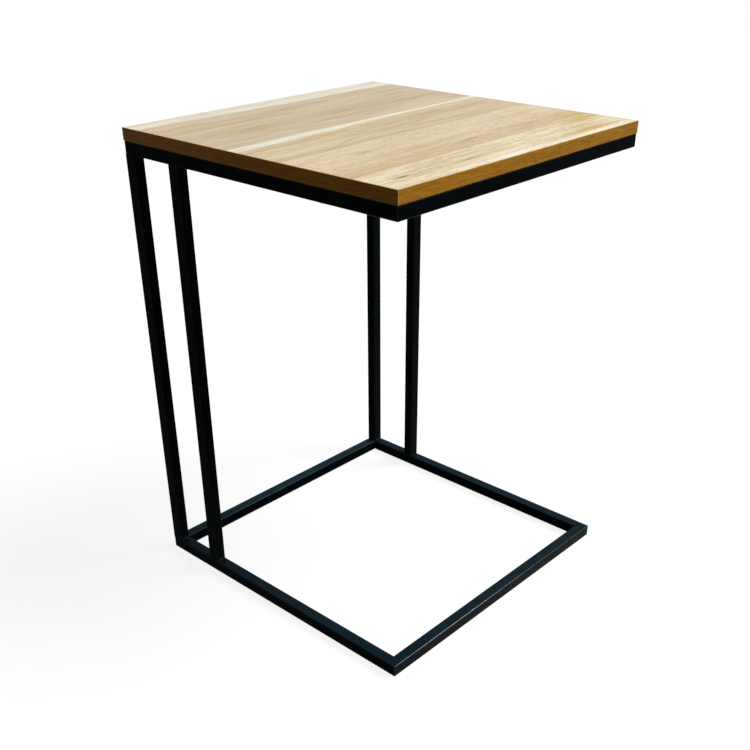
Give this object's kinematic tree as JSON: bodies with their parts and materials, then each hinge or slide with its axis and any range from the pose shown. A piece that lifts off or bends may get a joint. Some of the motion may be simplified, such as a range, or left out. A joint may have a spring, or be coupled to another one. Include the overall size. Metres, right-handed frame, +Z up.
{
  "type": "c shaped side table",
  "caption": "C shaped side table: a square wood-decor board on a welded black square-tube frame, with posts along the back only, so its open front slides over a sofa or bed.",
  "frame": {"origin": "on the floor, under the middle of the table", "axes": "+Z up; the open front faces -Y and the posts stand at +Y; +X is to the right, seen from the open front"},
  "size_m": [0.44, 0.44, 0.6],
  "materials": {
    "frame_black": "satin black powder coat",
    "decor_top": "light tan staved wood decor, satin",
    "edge_band": "golden brown wood print, satin",
    "core_chipboard": "raw chipboard",
    "backer_sheet": "plain pale balancing sheet",
    "screw_steel": "zinc plated",
    "glide_black": "moulded black plastic"
  },
  "bodies": {
    "root": {"base_rail_back": "frame_black", "base_rail_left": "frame_black", "base_rail_front": "frame_black", "base_rail_right": "frame_black", "top_rail_back": "frame_black", "top_rail_left": "frame_black", "top_rail_front": "frame_black", "top_rail_right": "frame_black", "post_rear_left": "frame_black", "post_rear_right": "frame_black", "post_front_left": "frame_black", "post_front_right": "frame_black", "base_post_welds": "frame_black", "top_post_welds": "frame_black", "base_corner_welds": "frame_black", "top_corner_welds": "frame_black", "board_core": "core_chipboard", "board_top_laminate": "decor_top", "board_backer": "backer_sheet", "edge_band_back": "edge_band", "edge_band_left": "edge_band", "edge_band_front": "edge_band", "edge_band_right": "edge_band", "board_screws": "screw_steel", "floor_glide_front_left": "glide_black", "floor_glide_front_right": "glide_black", "floor_glide_rear_left": "glide_black", "floor_glide_rear_right": "glide_black"}
  },
  "joints": []
}
